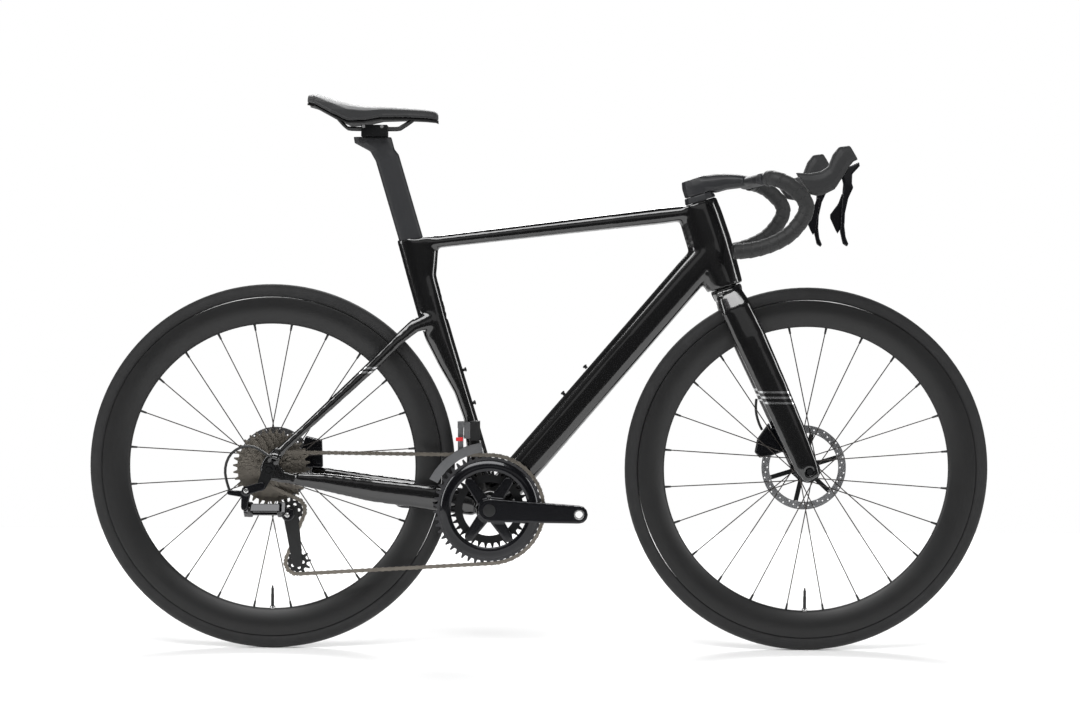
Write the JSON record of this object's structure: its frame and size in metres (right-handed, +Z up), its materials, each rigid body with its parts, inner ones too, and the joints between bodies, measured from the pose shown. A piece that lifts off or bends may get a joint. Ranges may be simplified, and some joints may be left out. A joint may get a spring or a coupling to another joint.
{
  "type": "aero road bike",
  "caption": "Road bike with an aero carbon frame and fork, deep rims, disc brakes, drop bars and a derailleur drivetrain.",
  "frame": {"origin": "on the ground, midway between the wheel axles, in the bike's middle plane", "axes": "+X forward, +Y to the rider's left, +Z up"},
  "size_m": [1.682, 0.422, 1.036],
  "materials": {
    "gloss_black": "gloss black lacquer over carbon",
    "matt_black": "satin black",
    "carbon": "satin carbon",
    "tyre": "matt tread rubber",
    "rubber": "matt rubber",
    "anodised": "black anodised",
    "steel": "bright steel",
    "silver": "plain alloy"
  },
  "bodies": {
    "frame": {"frame": "gloss_black", "derailleur_hanger": "anodised", "rear_axle": "steel", "bottom_bracket": "anodised", "headset_bearing_lower": "steel", "headset_bearing_upper": "steel", "seatpost_wedge": "silver", "fd_bracket": "matt_black", "rear_caliper": "matt_black", "chain": "steel", "shift_housing": "rubber", "rd_bracket": "matt_black"},
    "seatpost": {"seatpost": "matt_black", "rail_clamp": "anodised"},
    "saddle": {"saddle_shell": "carbon", "saddle_pad": "matt_black", "saddle_rails": "silver"},
    "fork": {"fork": "gloss_black", "headset_cover": "matt_black", "cockpit": "matt_black", "front_axle": "steel", "front_caliper": "matt_black", "front_brake_hose": "rubber", "bar_tape_right": "rubber", "bar_plug_right": "matt_black", "shifter_body_right": "rubber", "bar_tape_left": "rubber", "bar_plug_left": "matt_black", "shifter_body_left": "rubber"},
    "front_wheel": {"front_tyre": "tyre", "front_rim": "carbon", "front_hub": "anodised", "front_rotor": "silver"},
    "rear_wheel": {"rear_tyre": "tyre", "rear_rim": "carbon", "rear_hub": "anodised", "rear_rotor": "silver"},
    "cassette": {"cassette": "steel", "freehub": "anodised"},
    "crank": {"crank_right": "gloss_black", "crank_left": "gloss_black", "outer_chainring": "gloss_black", "inner_chainring": "steel"},
    "rear_pad_outer": {"rear_pad_outer": "steel"},
    "rear_pad_inner": {"rear_pad_inner": "steel"},
    "front_pad_outer": {"front_pad_outer": "steel"},
    "front_pad_inner": {"front_pad_inner": "steel"},
    "brake_lever_right": {"brake_lever_right": "anodised"},
    "brake_lever_left": {"brake_lever_left": "anodised"},
    "shift_paddle_right": {"shift_paddle_right": "anodised"},
    "shift_paddle_left": {"shift_paddle_left": "anodised"},
    "rd_inner_link": {"rd_inner_link": "matt_black"},
    "rd_outer_link": {"rd_outer_link": "matt_black"},
    "rd_p_knuckle": {"rd_p_knuckle": "matt_black"},
    "rd_cage": {"rd_cage": "matt_black"},
    "guide_pulley": {"guide_pulley": "matt_black"},
    "tension_pulley": {"tension_pulley": "matt_black"},
    "fd_link": {"fd_link": "anodised"},
    "fd_cage": {"fd_cage": "silver"}
  },
  "joints": [
    {"name": "steering", "type": "hinge", "parent": "frame", "child": "fork", "pos_m": [0.45708, 0, 0.32747], "axis": [-0.3007, 0, 0.9537], "range_deg": [-55, 55]},
    {"name": "front_wheel_spin", "type": "hinge", "parent": "fork", "child": "front_wheel", "pos_m": [0.5, 0, 0.341], "axis": [0, 1, 0], "continuous": true},
    {"name": "rear_wheel_spin", "type": "hinge", "parent": "frame", "child": "rear_wheel", "pos_m": [-0.5, 0, 0.341], "axis": [0, 1, 0], "continuous": true},
    {"name": "cassette_spin", "type": "hinge", "parent": "frame", "child": "cassette", "pos_m": [-0.5, 0, 0.341], "axis": [0, 1, 0], "continuous": true, "deforming": ["chain"]},
    {"name": "crank_spin", "type": "hinge", "parent": "frame", "child": "crank", "pos_m": [-0.094, 0, 0.267], "axis": [0, 1, 0], "continuous": true, "deforming": ["chain"]},
    {"name": "seat_height", "type": "slide", "parent": "frame", "child": "seatpost", "axis": [-0.2857, 0, 0.9583], "range_m": [-0.045, 0.06]},
    {"name": "saddle_fore_aft", "type": "slide", "parent": "seatpost", "child": "saddle", "axis": [1, 0, 0], "range_m": [-0.015, 0.015]},
    {"name": "rd_shift", "type": "hinge", "parent": "frame", "child": "rd_outer_link", "pos_m": [-0.533, -0.0785, 0.27], "axis": [0, 0.5446, 0.8387], "range_deg": [-18.7, 34.2], "deforming": ["chain"]},
    {"name": "rd_inner_link_turn", "type": "hinge", "parent": "frame", "child": "rd_inner_link", "pos_m": [-0.533, -0.06844, 0.26346], "axis": [0, 0.5446, 0.8387], "range_deg": [-18.7, 34.2]},
    {"name": "rd_knuckle_turn", "type": "hinge", "parent": "rd_outer_link", "child": "rd_p_knuckle", "pos_m": [-0.481, -0.0785, 0.27], "axis": [0, 0.5446, 0.8387], "range_deg": [-34.2, 18.7]},
    {"name": "rd_cage_swing", "type": "hinge", "parent": "rd_p_knuckle", "child": "rd_cage", "pos_m": [-0.4653, -0.066, 0.258], "axis": [0, 1, 0], "range_deg": [-30, 40], "deforming": ["chain"]},
    {"name": "guide_pulley_spin", "type": "hinge", "parent": "rd_cage", "child": "guide_pulley", "pos_m": [-0.4578, -0.0485, 0.2639], "axis": [0, 1, 0], "continuous": true},
    {"name": "tension_pulley_spin", "type": "hinge", "parent": "rd_cage", "child": "tension_pulley", "pos_m": [-0.44971, -0.0485, 0.16674], "axis": [0, 1, 0], "continuous": true},
    {"name": "fd_shift", "type": "hinge", "parent": "frame", "child": "fd_link", "pos_m": [-0.136, -0.034, 0.402], "axis": [-1, 0, 0], "range_deg": [0, 20], "deforming": ["chain"]},
    {"name": "fd_cage_turn", "type": "hinge", "parent": "fd_link", "child": "fd_cage", "pos_m": [-0.136, -0.034, 0.424], "axis": [-1, 0, 0], "range_deg": [-20, 0]},
    {"name": "brake_right", "type": "hinge", "parent": "fork", "child": "brake_lever_right", "pos_m": [0.54, -0.195, 0.892], "axis": [0, 1, 0], "range_deg": [0, 18], "stiffness_Nm_per_rad": 1.5},
    {"name": "paddle_right", "type": "hinge", "parent": "brake_lever_right", "child": "shift_paddle_right", "pos_m": [0.5405, -0.1882, 0.8528], "axis": [1, 0, 0], "range_deg": [0, 12], "stiffness_Nm_per_rad": 0.3},
    {"name": "brake_left", "type": "hinge", "parent": "fork", "child": "brake_lever_left", "pos_m": [0.54, 0.195, 0.892], "axis": [0, 1, 0], "range_deg": [0, 18], "stiffness_Nm_per_rad": 1.5},
    {"name": "paddle_left", "type": "hinge", "parent": "brake_lever_left", "child": "shift_paddle_left", "pos_m": [0.5405, 0.1882, 0.8528], "axis": [-1, 0, 0], "range_deg": [0, 12], "stiffness_Nm_per_rad": 0.3},
    {"name": "front_outer_pad_travel", "type": "slide", "parent": "fork", "child": "front_pad_outer", "axis": [0, -1, 0], "range_m": [0, 0.0004]},
    {"name": "front_inner_pad_travel", "type": "slide", "parent": "fork", "child": "front_pad_inner", "axis": [0, 1, 0], "range_m": [0, 0.0004]},
    {"name": "rear_outer_pad_travel", "type": "slide", "parent": "frame", "child": "rear_pad_outer", "axis": [0, -1, 0], "range_m": [0, 0.0004]},
    {"name": "rear_inner_pad_travel", "type": "slide", "parent": "frame", "child": "rear_pad_inner", "axis": [0, 1, 0], "range_m": [0, 0.0004]}
  ],
  "couplings": [
    {"joint": "cassette_spin", "follows": "crank_spin", "ratio": 3.3333},
    {"joint": "guide_pulley_spin", "follows": "crank_spin", "ratio": -4.5455},
    {"joint": "tension_pulley_spin", "follows": "crank_spin", "ratio": 4.5455},
    {"joint": "rd_inner_link_turn", "follows": "rd_shift", "ratio": 1},
    {"joint": "rd_knuckle_turn", "follows": "rd_shift", "ratio": -1},
    {"joint": "fd_cage_turn", "follows": "fd_shift", "ratio": -1},
    {"joint": "front_outer_pad_travel", "follows": "brake_left", "m_per_rad": 0.0012732},
    {"joint": "front_inner_pad_travel", "follows": "brake_left", "m_per_rad": 0.0012732},
    {"joint": "rear_outer_pad_travel", "follows": "brake_right", "m_per_rad": 0.0012732},
    {"joint": "rear_inner_pad_travel", "follows": "brake_right", "m_per_rad": 0.0012732}
  ]
}
